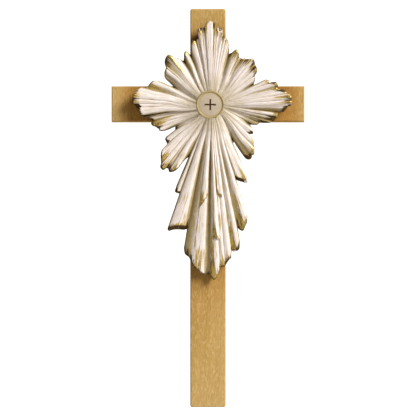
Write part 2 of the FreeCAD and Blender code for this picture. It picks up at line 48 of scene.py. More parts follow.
# --- places and sizes, in millimetres, in the row frame ---
UPRIGHT_LOW, UPRIGHT_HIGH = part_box("upright_beam")
DISC_LOW, DISC_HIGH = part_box("medallion_disc")
RIM_LOW, RIM_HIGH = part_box("medallion_rim")
FRONT_Y = UPRIGHT_LOW[1] / MM
MIDDLE_Z = (UPRIGHT_LOW[2] + UPRIGHT_HIGH[2]) / 2
MEDALLION_X = (RIM_LOW[0] + RIM_HIGH[0]) / 2 / MM
MEDALLION_Z = (RIM_LOW[2] + RIM_HIGH[2]) / 2 / MM
RIM_RADIUS = (RIM_HIGH[0] - RIM_LOW[0]) / 2 / MM
DISC_RADIUS = (DISC_HIGH[0] - DISC_LOW[0]) / 2 / MM
SEAT_HEIGHT = FRONT_Y - RIM_HIGH[1] / MM

# The carving's form, as the CAD has it.
HUB_X, HUB_Z = 2.7, 242.1    # where the rays meet
HUB_HEIGHT = 11.0
HUB_SPREAD = 14.0
DISH_HEIGHT = 9.0
STAR_HEIGHT = 11.0
STAR_REACH = 60.0
CASCADE_MIDDLE = 177.0
CASCADE_HALF = 30.0
CASCADE_HEIGHT = 11.6
CASCADE_TOP = 62.0
CASCADE_END_HEIGHT = 7.5
CASCADE_REACH = 135.0
CASCADE_ARCH = 1.0
FOLD_REACH = 46.0
FOLD_GROWTH = 2.0
FOLD_MOST = 1.15
FOLD_DEPTH = 0.7
FOLD_POWER = 1.5
LIFT_REACH = 40.0
THINNEST = 1.8
LIP = 2.2
UNDERCUT = 4.0

# What the CAD leaves to the visual model.
STEP = 0.55                  # spacing of the carved surface's points
STEP_ALONG = 1.25            # points along a ray are this many times further apart
FEWEST_POINTS = 4
INNER_RADIUS = 4.0
LAST_SPACED_RADIUS = 75.0    # points may spread further apart beyond this
HUB_BEND_REACH = 36.0        # inside this radius the folds bend round the hub
HUB_BEND_FULL = 12.0
# How far the folds have turned where they meet the hub: (compass angle, degrees of turn).
HUB_BEND = ((-22.5, -6.0), (0.0, 0.0), (28.0, 8.0), (70.0, 5.0), (95.0, 0.0), (112.0, -5.0), (147.0, -10.0),
            (178.0, 0.0), (200.0, 0.0), (215.0, -3.0), (262.0, -10.0), (284.0, -10.0), (333.0, -9.0),
            (337.5, -6.0))
# Deep hollows between the lobes: (compass angle, depth in mm, half width in degrees).
HOLLOWS = ((-23.0, 1.2, 3.5), (19.0, 1.0, 4.0), (33.0, 0.8, 3.5), (64.5, 1.2, 5.0), (95.5, 0.8, 3.0),
           (109.5, 1.6, 6.0), (116.0, 1.0, 4.0), (149.0, 1.6, 4.0), (203.5, 0.9, 4.0), (238.0, 2.2, 5.0),
           (258.0, 0.8, 4.0), (285.5, 0.8, 4.0), (297.0, 1.6, 5.0), (301.0, 0.7, 4.0), (328.0, 1.6, 4.0))
# Short leaves that lie on the cascade: first angle, crest, last angle, radius of the tip at each, rise in mm.
LEAVES = (
    ((173.2, 175.2, 176.6), (74.0, 73.0, 69.5), 0.9),
    ((176.8, 177.5, 179.4), (106.0, 107.6, 104.0), 1.3),
    ((182.4, 184.6, 186.7), (72.0, 78.0, 82.4), 1.1),
)
LEAF_ROOT = 22.0             # radius where a leaf starts to rise
LEAF_GROWN = 0.9             # share of the way to its tip where it has its full rise
LEAF_EDGE = 0.55             # rise at its sides, as a share of the rise on its crest
LEAF_CLIFF = (-0.02, 0.12)   # points just inside and just past the tip, which make the cliff
LEAF_SHADOW = 0.5            # painted shadow at the foot of the cliff
LEAF_SHADOW_REACH = 2.5
LEAF_GOLD_REACH = (5.0, 26.0)   # how far in the gold reaches, before and past the crest

EDGE_ROUNDING = 0.9          # the rays' upper edge is rounded over this width
EDGE_DROP = 0.35
EDGE_POINTS = (0.45, 0.12, 0.0)     # the last points' distances from that edge
HOLLOW_RADII = (8.0, 26.0)   # a hollow starts at the first and has its full depth at the second
END_SLOPE = 1.1              # fall of a sloping end for each millimetre of its length
END_STEP = 0.25
LONG_END = 1.0               # a longer end gets a row of points half way down
STEEP_END = 2.0              # a longer end keeps its dark stain and painted shade to itself
SOCKET_INSET = 0.5           # the medallion's seat starts this far inside its rim
SOCKET_DEPTH = 2.0           # and takes only points higher than this
WALL_TOP = 0.3               # the side wall starts this far below the rim
SHARP_EDGE = 42.0            # degrees

EMBLEM_SPAN = 9.0            # the cross engraved in the medallion
EMBLEM_STROKE = 1.2
EMBLEM_BLUR = 0.1
EMBLEM_WOBBLE = 0.12
DISC_EDGE_TONE = 2.2         # width of the warmer tone round the disc

# Patina, from fold depths and radii in millimetres between which it grows.
PATINA_FOLD = (0.25, 1.7)
PATINA_HOLLOW = 0.6          # share of a hollow's depth that counts as a fold
PATINA_HOLLOW_RADII = (6.0, 16.0)
PATINA_RADII = (9.0, 44.0)
HUB_PATINA = 0.6
HUB_PATINA_RADII = (42.0, 8.0)

# Dark stain and painted shade: painted shade in the deep folds from the rim inwards, dark stain with painted
# shade at the ends, and a thin painted shade line along the outline that is strongest on the side facing the
# angle below (lower left, away from the key lamp).
GROOVE_SHADE = 0.8
GROOVE_SHADE_REACH = 9.0
GROOVE_SHADE_FOLD = (0.5, 1.7)
STEEP_STAIN_AND_SHADE_REACH = 0.8
END_STAIN_AND_SHADE_REACH = 1.3        # as a share of the gilding's reach
RIM_SHADE_REACH = 1.3
RIM_SHADE_ANGLE = 215.0
# Dark stain with painted shade on the sloping ends.
LONG_END_GOLD = 0.35
LONG_END_DARK = (0.25, 0.45)     # half way down and at the foot
LONG_END_STAIN_AND_SHADE = 0.55
SHORT_END_DARK, SHORT_END_STAIN_AND_SHADE = 0.5, 0.4
PLAIN_END = (1.0, 0.3, 0.3)  # an end that FINISHED_ENDS leaves out
# Gilding, patina and dark stain on the side wall's three points and on the two middle points; on the undercut
# wall the dark stain is also painted shade under the overhang.
WALL_GILD, WALL_PATINA, WALL_DARK = (0.2, 0.0, 0.0), (0.8, 1.0, 1.0), (0.85, 1.0, 1.0)
MIDDLE_GILD, MIDDLE_PATINA, MIDDLE_DARK = (0.0, 0.0), (0.5, 0.5), (0.0, 1.0)

# Painted shade on the bars round the carving, a darker, warmer tone: where it fades at the sides, above and
# below.
PAINTED_SHADE_SIDES = (60.0, 82.0)
PAINTED_SHADE_TOP = (292.0, 314.0)
PAINTED_SHADE_FOOT = 118.0
PAINTED_SHADE_FALL = 2.5
PAINTED_SHADE_COLOUR = (0.74, 0.55, 0.26, 1.0)

# Gilding, and dark stain with painted shade, at the rays' ends: first and last compass angle, how far in it
# reaches in mm, and the strengths of the gold and of the dark stain with painted shade.
FINISHED_ENDS = (
    (-22.5, -17.5, 3.0, 0.6, 0.3), (-17.5, -13.4, 3.0, 0.9, 0.1), (-13.4, -10.4, 1.5, 0.4, 0.5),
    (-10.4, -9.6, 3.0, 0.4, 0.8), (-9.6, -8.2, 5.0, 1.0, 0.2), (-8.2, -7.2, 3.0, 0.3, 0.9),
    (-7.2, -5.3, 5.0, 1.0, 0.3), (-5.3, -3.4, 7.0, 1.0, 0.0), (-3.4, 1.0, 1.0, 0.6, 0.1),
    (1.0, 1.9, 9.0, 0.6, 0.9), (1.9, 3.5, 14.0, 1.0, 0.0), (3.5, 4.1, 8.0, 0.5, 0.8),
    (4.1, 5.6, 6.0, 1.0, 0.1), (5.6, 7.2, 5.0, 0.4, 0.8), (7.2, 9.2, 4.5, 1.0, 0.3),
    (9.2, 10.2, 6.0, 0.4, 0.9), (10.2, 12.6, 4.0, 0.9, 0.1), (12.6, 16.5, 2.0, 0.6, 0.4),
    (16.5, 18.9, 1.5, 0.3, 0.9),
    (18.9, 22.0, 2.0, 0.5, 0.5), (22.0, 24.0, 7.0, 0.9, 0.3), (24.0, 26.6, 8.0, 0.9, 0.1),
    (26.6, 29.4, 7.0, 0.8, 0.5),
    (29.4, 34.0, 2.0, 0.7, 0.5), (34.0, 36.4, 6.0, 1.0, 0.2), (36.4, 39.0, 6.0, 0.5, 0.9),
    (39.0, 42.0, 7.0, 1.0, 0.1), (42.0, 44.0, 3.0, 0.6, 0.6), (44.0, 46.0, 9.0, 0.4, 1.0),
    (46.0, 47.6, 8.0, 1.0, 0.3), (47.6, 50.5, 9.0, 0.4, 1.0),
    (50.5, 53.0, 5.0, 0.9, 0.4), (53.0, 56.0, 4.0, 0.5, 0.8), (56.0, 64.8, 1.2, 0.4, 0.6),
    (64.8, 69.0, 3.0, 0.8, 0.2), (69.0, 71.0, 6.0, 0.3, 1.0), (71.0, 72.6, 3.0, 0.9, 0.1),
    (72.6, 74.6, 3.0, 0.3, 0.9), (74.6, 77.4, 5.0, 1.0, 0.1), (77.4, 80.0, 6.0, 0.3, 1.0),
    (80.0, 82.4, 4.0, 0.8, 0.3), (82.4, 85.2, 10.0, 1.0, 0.0), (85.2, 86.9, 9.0, 0.3, 0.9),
    (86.9, 89.4, 8.0, 1.0, 0.0), (89.4, 95.6, 3.5, 0.4, 1.0), (95.6, 100.0, 4.0, 1.0, 0.1),
    (100.0, 104.3, 9.0, 0.3, 1.0), (104.3, 106.0, 4.0, 0.9, 0.2), (106.0, 108.0, 9.0, 0.3, 1.0),
    (108.0, 116.0, 1.5, 0.4, 0.5),
    (118.0, 122.5, 1.5, 0.5, 0.4), (122.5, 127.4, 3.5, 0.5, 1.0), (127.4, 136.0, 2.5, 0.8, 0.1),
    (136.0, 141.4, 6.0, 0.9, 0.4), (141.4, 148.5, 3.0, 0.5, 1.0),
    (150.6, 154.5, 1.5, 0.3, 0.3), (154.5, 157.0, 16.0, 0.8, 0.0), (157.0, 162.0, 3.5, 0.6, 1.0),
    (162.0, 164.6, 4.5, 0.8, 0.5), (164.6, 166.6, 22.0, 1.0, 0.1), (166.6, 168.3, 12.0, 0.5, 0.8),
    (168.3, 170.2, 4.0, 0.5, 0.9), (170.2, 172.4, 24.0, 0.9, 0.2), (172.4, 175.2, 5.0, 0.6, 0.8),
    (175.2, 177.2, 6.0, 0.8, 0.4), (177.2, 178.7, 7.0, 0.7, 0.1), (178.7, 180.4, 32.0, 1.0, 0.1),
    (180.4, 183.6, 4.0, 0.5, 0.5), (183.6, 187.0, 16.0, 0.75, 0.1), (187.0, 190.9, 8.0, 0.6, 0.8),
    (190.9, 199.4, 3.0, 0.8, 1.0), (199.4, 201.6, 2.0, 0.5, 0.5), (201.6, 203.6, 5.0, 0.7, 0.9),
    (203.6, 209.0, 2.0, 0.5, 0.9), (209.0, 211.4, 7.0, 1.0, 0.2), (211.4, 213.6, 6.0, 0.6, 0.9),
    (213.6, 216.0, 8.0, 0.6, 0.9), (216.0, 218.4, 9.0, 1.0, 0.2), (218.4, 219.8, 8.0, 0.5, 0.9),
    (219.8, 224.4, 8.0, 1.0, 0.2), (224.4, 229.0, 1.5, 0.6, 0.6), (229.0, 231.6, 3.5, 0.8, 0.9),
    (231.6, 236.5, 1.2, 0.4, 0.5),
    (240.0, 246.2, 1.5, 0.5, 0.6), (246.2, 248.0, 7.0, 0.7, 0.8), (248.0, 250.3, 7.0, 0.9, 0.3),
    (250.3, 254.8, 11.0, 1.0, 0.1), (254.8, 259.4, 3.0, 0.5, 0.7), (259.4, 261.5, 16.0, 0.6, 0.9),
    (261.5, 268.0, 1.8, 0.6, 0.7), (268.0, 271.3, 4.0, 0.2, 1.0), (271.3, 273.4, 5.0, 1.0, 0.2),
    (273.4, 275.2, 8.0, 0.5, 0.9), (275.2, 279.4, 4.5, 1.0, 0.0), (279.4, 284.7, 1.2, 0.5, 0.3),
    (284.7, 290.0, 10.0, 0.9, 0.3), (290.0, 294.0, 1.4, 0.5, 0.6), (294.0, 296.5, 1.5, 0.1, 1.0),
    (297.0, 304.2, 2.0, 0.6, 0.3), (304.2, 309.6, 2.5, 0.7, 0.5), (309.6, 311.4, 4.0, 0.8, 0.4),
    (311.4, 317.2, 10.0, 0.7, 0.8), (317.2, 320.8, 14.0, 1.0, 0.0), (320.8, 327.5, 1.5, 0.5, 0.4),
    (327.5, 330.6, 6.0, 0.9, 0.2), (330.6, 333.0, 5.0, 0.6, 0.7), (333.0, 337.5, 3.0, 0.8, 0.2),
)

# Worn gold lines along the rays: compass angle, half width in degrees and the radius where the line begins.
GOLD_LINES = (
    (-13.2, 0.4, 34.0), (-9.0, 0.5, 40.0), (-5.2, 0.4, 42.0), (3.0, 0.5, 32.0), (8.3, 0.5, 38.0),
    (12.6, 0.4, 28.0), (15.6, 0.5, 24.0), (22.5, 0.6, 26.0), (25.6, 0.5, 30.0), (35.6, 0.5, 28.0),
    (40.6, 0.5, 32.0), (47.0, 0.5, 30.0), (52.0, 0.5, 32.0), (68.5, 0.4, 32.0), (75.6, 0.4, 40.0),
    (98.6, 0.4, 34.0), (137.0, 0.5, 28.0), (156.4, 0.3, 34.0), (166.0, 0.4, 62.0), (171.4, 0.3, 70.0),
    (175.9, 0.3, 42.0), (178.9, 0.3, 52.0), (184.8, 0.3, 96.0), (186.8, 0.4, 44.0), (211.0, 0.4, 36.0),
    (217.4, 0.4, 40.0), (251.5, 0.5, 32.0), (260.6, 0.4, 32.0), (287.5, 0.6, 32.0), (319.6, 0.5, 26.0),
    (332.0, 0.4, 28.0),
)
GOLD_LINE_STRENGTH = 0.7
GOLD_LINE_RISE = 12.0        # a line takes this many millimetres to reach its full strength

# Rays in clockwise order from the top: lift above its neighbours, length of its sloping end, and its folds
# as (compass angle in degrees, radius of the outline, depth of the fold below the crest), in millimetres.
RAYS = (
    # top lobe
    (-0.5, 0.6, ((-22.5, 43.5, 2.0), (-20.0, 47.0, 1.0), (-17.5, 52.2, 0.2), (-15.6, 53.6, 0.0),
                 (-14.3, 53.0, 0.5), (-13.6, 52.0, 1.6))),
    (-1.2, 0.6, ((-13.3, 53.0, 1.4), (-12.0, 54.0, 0.6), (-10.7, 55.0, 1.0))),
    (0.0, 2.4, ((-10.4, 61.5, 0.8), (-9.2, 62.0, 0.0), (-7.8, 62.3, 0.5), (-6.5, 62.6, 0.0),
                (-5.4, 62.0, 0.9))),
    (0.9, 0.5, ((-5.1, 62.4, 1.0), (-4.2, 64.6, 0.4), (-3.0, 65.6, 0.1), (-1.0, 66.8, 0.0), (0.8, 66.4, 0.3),
                (1.7, 65.0, 1.2), (2.6, 66.2, 0.1), (3.4, 65.2, 0.8))),
    (0.0, 2.4, ((3.7, 62.0, 1.1), (4.8, 62.2, 0.1), (6.2, 62.0, 0.7), (8.0, 61.5, 0.0), (9.1, 57.5, 0.9))),
    (-0.4, 0.8, ((9.4, 56.0, 1.0), (11.0, 55.4, 0.1), (12.3, 54.8, 0.6), (14.0, 53.6, 0.0),
                 (15.5, 51.5, 0.5), (17.0, 48.5, 1.0), (18.5, 44.2, 2.0))),
    # upper right lobe
    (-0.3, 0.6, ((18.9, 43.4, 2.4), (21.0, 45.0, 1.7), (24.2, 48.8, 0.5), (26.0, 48.2, 0.0),
                 (28.0, 46.5, 0.4), (29.2, 45.0, 1.5))),
    (-1.2, 0.6, ((29.5, 44.6, 1.5), (31.0, 44.2, 1.0), (33.0, 44.6, 1.7), (35.5, 46.0, 0.1),
                 (37.2, 46.0, 1.0))),
    (0.0, 0.8, ((37.5, 46.5, 1.0), (40.0, 48.3, 0.2), (41.7, 49.8, 0.9), (44.0, 49.2, 0.0),
                (46.5, 48.0, 1.2))),
    (-0.4, 0.7, ((46.9, 47.6, 1.2), (48.5, 47.3, 0.9), (51.5, 46.8, 0.1), (54.0, 44.8, 0.7),
                 (55.1, 43.0, 1.2))),
    (-1.0, 0.5, ((55.4, 42.4, 1.1), (57.0, 41.6, 0.2), (60.0, 40.2, 0.7), (62.0, 38.8, 1.4),
                 (64.1, 37.6, 2.4))),
    # right lobe
    (0.2, 0.8, ((64.4, 48.0, 1.9), (66.7, 49.8, 0.1), (68.9, 49.4, 0.9))),
    (0.0, 1.0, ((69.2, 52.2, 0.9), (70.9, 55.2, 0.2), (74.2, 55.4, 1.5), (76.2, 55.0, 0.8))),
    (0.6, 1.0, ((76.5, 56.0, 0.8), (78.8, 59.8, 0.9), (80.5, 61.5, 0.4), (81.7, 62.2, 0.8))),
    (1.2, 0.5, ((82.0, 62.8, 0.9), (84.0, 64.2, 0.0), (85.7, 64.2, 0.3), (86.4, 64.0, 1.0),
                (88.2, 64.2, 0.0), (90.6, 63.2, 0.8))),
    (0.8, 1.2, ((90.9, 61.0, 0.7), (92.6, 60.0, 0.9), (94.2, 58.8, 1.5), (95.3, 58.0, 1.9))),
    (0.2, 0.6, ((95.8, 54.0, 2.0), (96.6, 53.4, 1.2), (98.3, 53.6, 0.0), (99.9, 53.4, 0.9))),
    (0.0, 1.6, ((100.2, 52.8, 1.5), (102.0, 52.4, 1.0), (104.2, 51.2, 1.5))),
    (-0.5, 1.6, ((104.5, 50.6, 1.5), (106.0, 49.6, 0.9), (107.5, 46.5, 1.2), (109.5, 41.4, 1.9))),
    (-0.8, 0.6, ((109.8, 40.8, 1.8), (111.5, 40.4, 0.9), (113.0, 39.6, 0.8), (115.8, 35.2, 2.3))),
    # lower right lobe
    (0.0, 1.2, ((116.4, 34.6, 2.3), (119.0, 37.0, 1.1), (121.5, 39.4, 0.1), (124.5, 40.2, 0.7),
                (127.2, 37.8, 1.0))),
    (0.4, 0.5, ((127.6, 38.2, 1.2), (130.0, 43.8, 0.4), (132.2, 45.6, 0.0), (134.8, 48.4, 1.0),
                (137.0, 50.2, 0.3), (139.2, 52.0, 0.6), (141.3, 51.4, 1.4))),
    (0.0, 2.0, ((141.6, 52.4, 1.4), (143.6, 53.2, 1.5), (145.5, 52.6, 1.2), (147.3, 50.0, 2.0),
                (147.9, 42.0, 2.4), (148.3, 34.0, 2.8))),
    # cascade
    (0.3, 2.8, ((150.2, 35.0, 2.2), (151.5, 45.0, 1.4), (152.9, 59.0, 0.7), (154.8, 68.2, 0.1),
                (156.2, 67.8, 0.3), (158.0, 66.0, 0.6), (160.0, 64.4, 0.4), (161.6, 62.6, 1.4))),
    (0.5, 0.8, ((162.1, 93.6, 1.3), (163.1, 97.8, 0.3), (164.0, 99.5, 0.0), (166.0, 103.4, 1.1),
                (166.9, 102.6, 1.5), (167.9, 100.2, 1.6))),
    (0.3, 1.6, ((168.2, 110.6, 1.5), (168.9, 116.6, 0.4), (169.7, 118.0, 0.0), (171.1, 118.3, 1.0),
                (172.1, 117.6, 1.4))),
    (0.6, 0.6, ((172.6, 123.0, 0.9), (173.6, 124.6, 0.0), (174.5, 127.0, 0.3), (175.1, 128.6, 0.8))),
    (0.7, 0.6, ((175.4, 129.4, 0.5), (176.2, 129.2, 0.0), (177.0, 129.6, 0.9))),
    (1.0, 0.4, ((177.3, 133.0, 0.9), (178.3, 137.4, 0.0), (179.0, 139.8, 0.5), (180.0, 137.0, 1.1))),
    (0.4, 0.5, ((180.3, 135.5, 1.3), (181.4, 135.2, 2.0), (182.4, 135.2, 1.3), (183.4, 134.0, 0.4),
                (185.0, 132.0, 0.0), (186.4, 129.0, 0.3), (187.4, 126.2, 0.9), (188.3, 123.0, 1.3),
                (190.2, 120.4, 1.9), (190.9, 116.0, 2.4))),
    (0.0, 3.0, ((191.2, 100.8, 2.2), (192.6, 102.0, 1.2), (194.2, 102.4, 0.4), (195.6, 103.0, 0.0),
                (197.4, 104.4, 0.4), (198.8, 106.0, 0.9), (199.6, 104.8, 1.6))),
    (-0.4, 1.2, ((199.9, 75.0, 1.3), (201.5, 75.4, 0.2), (203.0, 74.8, 1.2), (203.5, 70.0, 1.8))),
    # lower left lobe
    (0.0, 0.9, ((203.9, 45.4, 2.6), (205.1, 46.8, 2.0), (206.5, 50.6, 1.3), (208.0, 57.6, 0.6),
                (210.0, 61.4, 0.1), (212.3, 63.0, 0.8), (213.5, 62.0, 1.6))),
    (-0.6, 0.5, ((213.8, 61.6, 1.4), (214.8, 61.4, 1.2), (215.8, 61.9, 1.4))),
    (0.5, 0.8, ((216.1, 63.6, 1.0), (217.0, 64.8, 0.7), (218.6, 64.6, 0.0), (220.0, 63.4, 0.3),
                (220.8, 61.3, 1.2))),
    (0.3, 0.6, ((221.1, 61.1, 0.9), (223.0, 59.1, 0.0), (226.0, 56.1, 0.2), (228.0, 52.9, 1.0),
                (228.6, 48.0, 1.6))),
    (0.0, 1.0, ((228.9, 46.8, 1.2), (231.0, 46.4, 0.1), (233.5, 46.0, 0.3), (235.3, 43.6, 1.3),
                (236.0, 35.0, 2.4))),
    # left lobe
    (0.0, 0.5, ((240.0, 33.4, 2.8), (240.6, 39.0, 2.0), (241.8, 43.4, 1.1), (244.0, 46.2, 0.1),
                (246.1, 46.0, 1.2))),
    (-0.2, 1.2, ((246.4, 46.6, 1.1), (248.5, 47.6, 0.3), (250.2, 49.2, 1.2))),
    (0.2, 0.8, ((250.5, 49.6, 1.1), (252.7, 50.4, 0.0), (254.7, 49.2, 1.3))),
    (-1.4, 0.5, ((255.0, 48.6, 1.5), (257.0, 48.8, 0.6), (258.5, 51.0, 1.0), (260.0, 54.0, 0.7),
                 (261.2, 56.4, 1.8))),
    (0.9, 0.5, ((261.6, 56.8, 1.4), (263.0, 57.2, 0.5), (265.5, 57.8, 0.0), (267.0, 57.8, 0.2),
                (267.8, 58.6, 0.9))),
    (0.3, 3.6, ((268.1, 59.6, 0.9), (269.8, 60.8, 0.3), (271.1, 62.0, 0.9))),
    (0.6, 0.6, ((271.4, 63.0, 0.7), (273.2, 63.2, 0.1), (274.7, 63.2, 0.8))),
    (0.8, 0.5, ((275.1, 63.2, 0.7), (277.5, 63.0, 0.0), (279.8, 61.2, 0.5))),
    (0.4, 0.5, ((280.1, 60.8, 0.5), (282.0, 59.8, 0.2), (284.5, 57.0, 1.3))),
    (-0.5, 0.5, ((284.8, 54.0, 1.3), (286.5, 53.0, 1.2), (288.5, 52.4, 1.0), (290.2, 51.8, 0.4),
                 (292.3, 50.8, 0.0), (294.0, 48.4, 0.8), (295.0, 44.0, 1.6), (295.4, 34.0, 2.6))),
    # upper left lobe
    (-0.8, 0.6, ((297.0, 34.2, 2.4), (298.5, 38.0, 1.6), (300.0, 42.0, 1.0), (301.5, 44.0, 0.6),
                 (304.0, 45.2, 1.1))),
    (-0.3, 0.5, ((304.4, 45.6, 1.0), (307.0, 46.4, 0.2), (309.5, 46.8, 1.0))),
    (0.2, 0.8, ((309.8, 47.4, 1.1), (312.0, 50.2, 1.5), (315.0, 52.2, 1.3), (318.2, 53.0, 0.3),
                (319.5, 53.0, 0.0), (320.6, 51.6, 0.4))),
    (0.1, 0.5, ((321.0, 50.6, 0.5), (322.6, 47.6, 0.2), (325.0, 45.4, 0.4), (327.0, 42.6, 2.1))),
    (0.0, 0.6, ((328.4, 42.2, 2.4), (330.5, 44.5, 1.3), (332.3, 46.8, 0.3), (333.8, 47.8, 0.0),
                (335.6, 47.0, 0.6), (336.9, 44.4, 2.0))),
)


# ---------------------------------------------------------------- the carving's surface

def smooth(low, high, value):
    """0 below low, 1 above high, and a smooth rise between them."""
    t = np.clip((value - low) / (high - low), 0.0, 1.0)
    return t * t * (3 - 2 * t)


def rounded_run(xs, ys, x):
    """A curve through the points, level at its tops and bottoms and free at its ends."""
    steps = np.diff(xs)
    slopes = np.diff(ys) / steps
    tangents = np.zeros(len(xs))
    tangents[0], tangents[-1] = slopes[0], slopes[-1]
    for k in range(1, len(xs) - 1):
        if slopes[k - 1] * slopes[k] > 0:
            tangents[k] = 2 * slopes[k - 1] * slopes[k] / (slopes[k - 1] + slopes[k])
    k = min(max(int(np.searchsorted(xs, x, side="right")) - 1, 0), len(xs) - 2)
    u, h = (x - xs[k]) / steps[k], steps[k]
    return ((1 + 2 * u) * (1 - u) ** 2 * ys[k] + u * (1 - u) ** 2 * h * tangents[k]
            + u * u * (3 - 2 * u) * ys[k + 1] + u * u * (u - 1) * h * tangents[k + 1])


def crown(angle, radius):
    """Height of the rays' crests above the bars: a dished star, and an arched cascade below it."""
    away = abs((angle - CASCADE_MIDDLE + 180) % 360 - 180)
    share = max(0.0, 1 - (away / CASCADE_HALF) ** 4)
    hub = (HUB_HEIGHT - DISH_HEIGHT) * np.exp(-(radius / HUB_SPREAD) ** 2)
    star = DISH_HEIGHT + (STAR_HEIGHT - DISH_HEIGHT) * (radius / STAR_REACH) ** 2
    rising = (CASCADE_HEIGHT - DISH_HEIGHT) * (1 - radius / CASCADE_TOP) ** 2
    falling = ((CASCADE_HEIGHT - CASCADE_END_HEIGHT)
               * ((radius - CASCADE_TOP) / (CASCADE_REACH - CASCADE_TOP)) ** 2)
    drop = np.where(radius < CASCADE_TOP, rising, falling)
    cascade = CASCADE_HEIGHT - drop - CASCADE_ARCH * (away / CASCADE_HALF) ** 2
    return hub + star * (1 - share) + cascade * share


def hollow(angle):
    """Depth of the broad hollows between lobes at this angle."""
    total = 0.0
    for middle, depth, half in HOLLOWS:
        away = (angle - middle + 180) % 360 - 180
        total += depth * math.exp(-(away / half) ** 2)
    return total


def leaf_tip(angle, leaf):
    """Radius of a leaf's tip at this angle."""
    angles, radii, _ = leaf
    return float(np.interp(angle, angles, radii))


def leaf_rise(angle, radius, leaf):
    """Height that a leaf adds: it grows outwards, is highest on its crest and ends in a cliff."""
    angles, _, rise = leaf
    if not angles[0] <= angle <= angles[2]:
        return np.zeros_like(radius)
    across = float(np.interp(angle, angles, (LEAF_EDGE, 1.0, LEAF_EDGE)))
    tip = leaf_tip(angle, leaf)
    grown = smooth(LEAF_ROOT, tip * LEAF_GROWN, radius)
    return rise * across * grown * (radius <= tip)


def finished_end(angle):
    """Reach of the gilding at this angle, and its strengths of gold and of dark stain with painted shade."""
    for first, last, reach, gold, dark in FINISHED_ENDS:
        if first <= angle <= last:
            return reach, gold, dark
    return PLAIN_END


def column(angle, rim, depth, lift, end):
    """One line of points from near the hub to the rim: radius, height, gilding, patina and darkness."""
    top_end = rim - end
    count = max(FEWEST_POINTS, int((top_end - INNER_RADIUS) / (STEP * STEP_ALONG)))
    radii = np.linspace(INNER_RADIUS, top_end - EDGE_ROUNDING, count)
    here = [leaf for leaf in LEAVES if leaf[0][0] <= angle <= leaf[0][2]]
    for leaf in here:
        radii = np.append(radii, leaf_tip(angle, leaf) + np.array(LEAF_CLIFF))
    radii = np.sort(np.append(radii, top_end - np.array(EDGE_POINTS)))
    deep = hollow(angle)
    fold = FOLD_DEPTH * max(depth, 0.0) ** FOLD_POWER
    height = crown(angle, radii) + lift * np.minimum(1.0, radii / LIFT_REACH)
    height -= fold * np.minimum(FOLD_MOST, (radii / FOLD_REACH) ** FOLD_GROWTH)
    height -= deep * smooth(*HOLLOW_RADII, radii)

    inner = top_end - radii
    height -= EDGE_DROP * smooth(EDGE_ROUNDING, 0.0, inner) ** 2
    reach, gold, darkening = finished_end(angle)
    gild = gold * (1 - inner / (2 * reach))
    for middle, half, first in GOLD_LINES:
        line = math.exp(-((angle - middle) / half) ** 2)
        gild = np.maximum(gild, GOLD_LINE_STRENGTH * line * smooth(first, first + GOLD_LINE_RISE, radii))
    # Darkness: dark stain with painted shade at the end, then painted shade in the deep folds, along the
    # lower-left outline and below each leaf.
    dark = darkening * (1 - inner / (STEEP_STAIN_AND_SHADE_REACH if end > STEEP_END else END_STAIN_AND_SHADE_REACH * reach))
    patina = smooth(*PATINA_FOLD, fold + PATINA_HOLLOW * deep * smooth(*PATINA_HOLLOW_RADII, radii))
    patina *= smooth(*PATINA_RADII, radii)
    patina = np.maximum(patina, HUB_PATINA * smooth(*HUB_PATINA_RADII, radii))
    # Painted shade in the deep folds near the rim.
    groove_shade = GROOVE_SHADE * smooth(*GROOVE_SHADE_FOLD, fold)
    dark = np.maximum(dark, groove_shade * (1 - inner / GROOVE_SHADE_REACH))
    # Painted shade along the outline, strongest on the lower-left side, away from the key lamp.
    shade_facing = max(0.0, math.cos(math.radians(angle - RIM_SHADE_ANGLE)))
    dark = np.maximum(dark, shade_facing * (1 - inner / RIM_SHADE_REACH))
    for leaf in here:
        tip = leaf_tip(angle, leaf)
        height += leaf_rise(angle, radii, leaf)
        # Painted shadow at the foot of the leaf's cliff.
        beyond = (radii > tip) * smooth(tip + LEAF_SHADOW_REACH, tip, radii)
        dark = np.maximum(dark, LEAF_SHADOW * beyond)
        length = LEAF_GOLD_REACH[int(angle > leaf[0][1])]
        gild = np.maximum(gild, (radii <= tip) * (1 - (tip - radii) / length))

    end_height = height[-1] - end * END_SLOPE - END_STEP
    if end > LONG_END:
        radii = np.append(radii, (rim - end / 2, rim))
        height = np.append(height, ((height[-1] + end_height) / 2, end_height))
        gild = np.append(gild, (LONG_END_GOLD * gold, 0.0))
        dark = np.append(dark, np.array(LONG_END_DARK) + LONG_END_STAIN_AND_SHADE * darkening)
    else:
        radii, height = np.append(radii, rim), np.append(height, end_height)
        gild = np.append(gild, gold)
        dark = np.append(dark, SHORT_END_DARK + SHORT_END_STAIN_AND_SHADE * darkening)
    patina = np.append(patina, np.full(len(radii) - len(patina), patina[-1]))
    return {"angle": angle, "radii": radii, "height": np.maximum(height, THINNEST),
            "gild": np.clip(gild, 0, 1), "patina": np.clip(patina, 0, 1), "dark": np.clip(dark, 0, 1)}


def all_columns():
    """Every column of the carving, in clockwise order from the top."""
    columns = []
    for lift, end, folds in RAYS:
        angles, rims, depths = (np.array(values) for values in zip(*folds))
        for start, stop in zip(angles, angles[1:]):
            width = math.radians(stop - start) * min(rims.max(), LAST_SPACED_RADIUS)
            pieces = max(2, math.ceil(width / STEP))
            for angle in np.linspace(start, stop, pieces, endpoint=False):
                rim, depth = rounded_run(angles, rims, angle), rounded_run(angles, depths, angle)
                columns.append(column(angle, rim, depth, lift, end))
        columns.append(column(angles[-1], rims[-1], depths[-1], lift, end))
    return columns


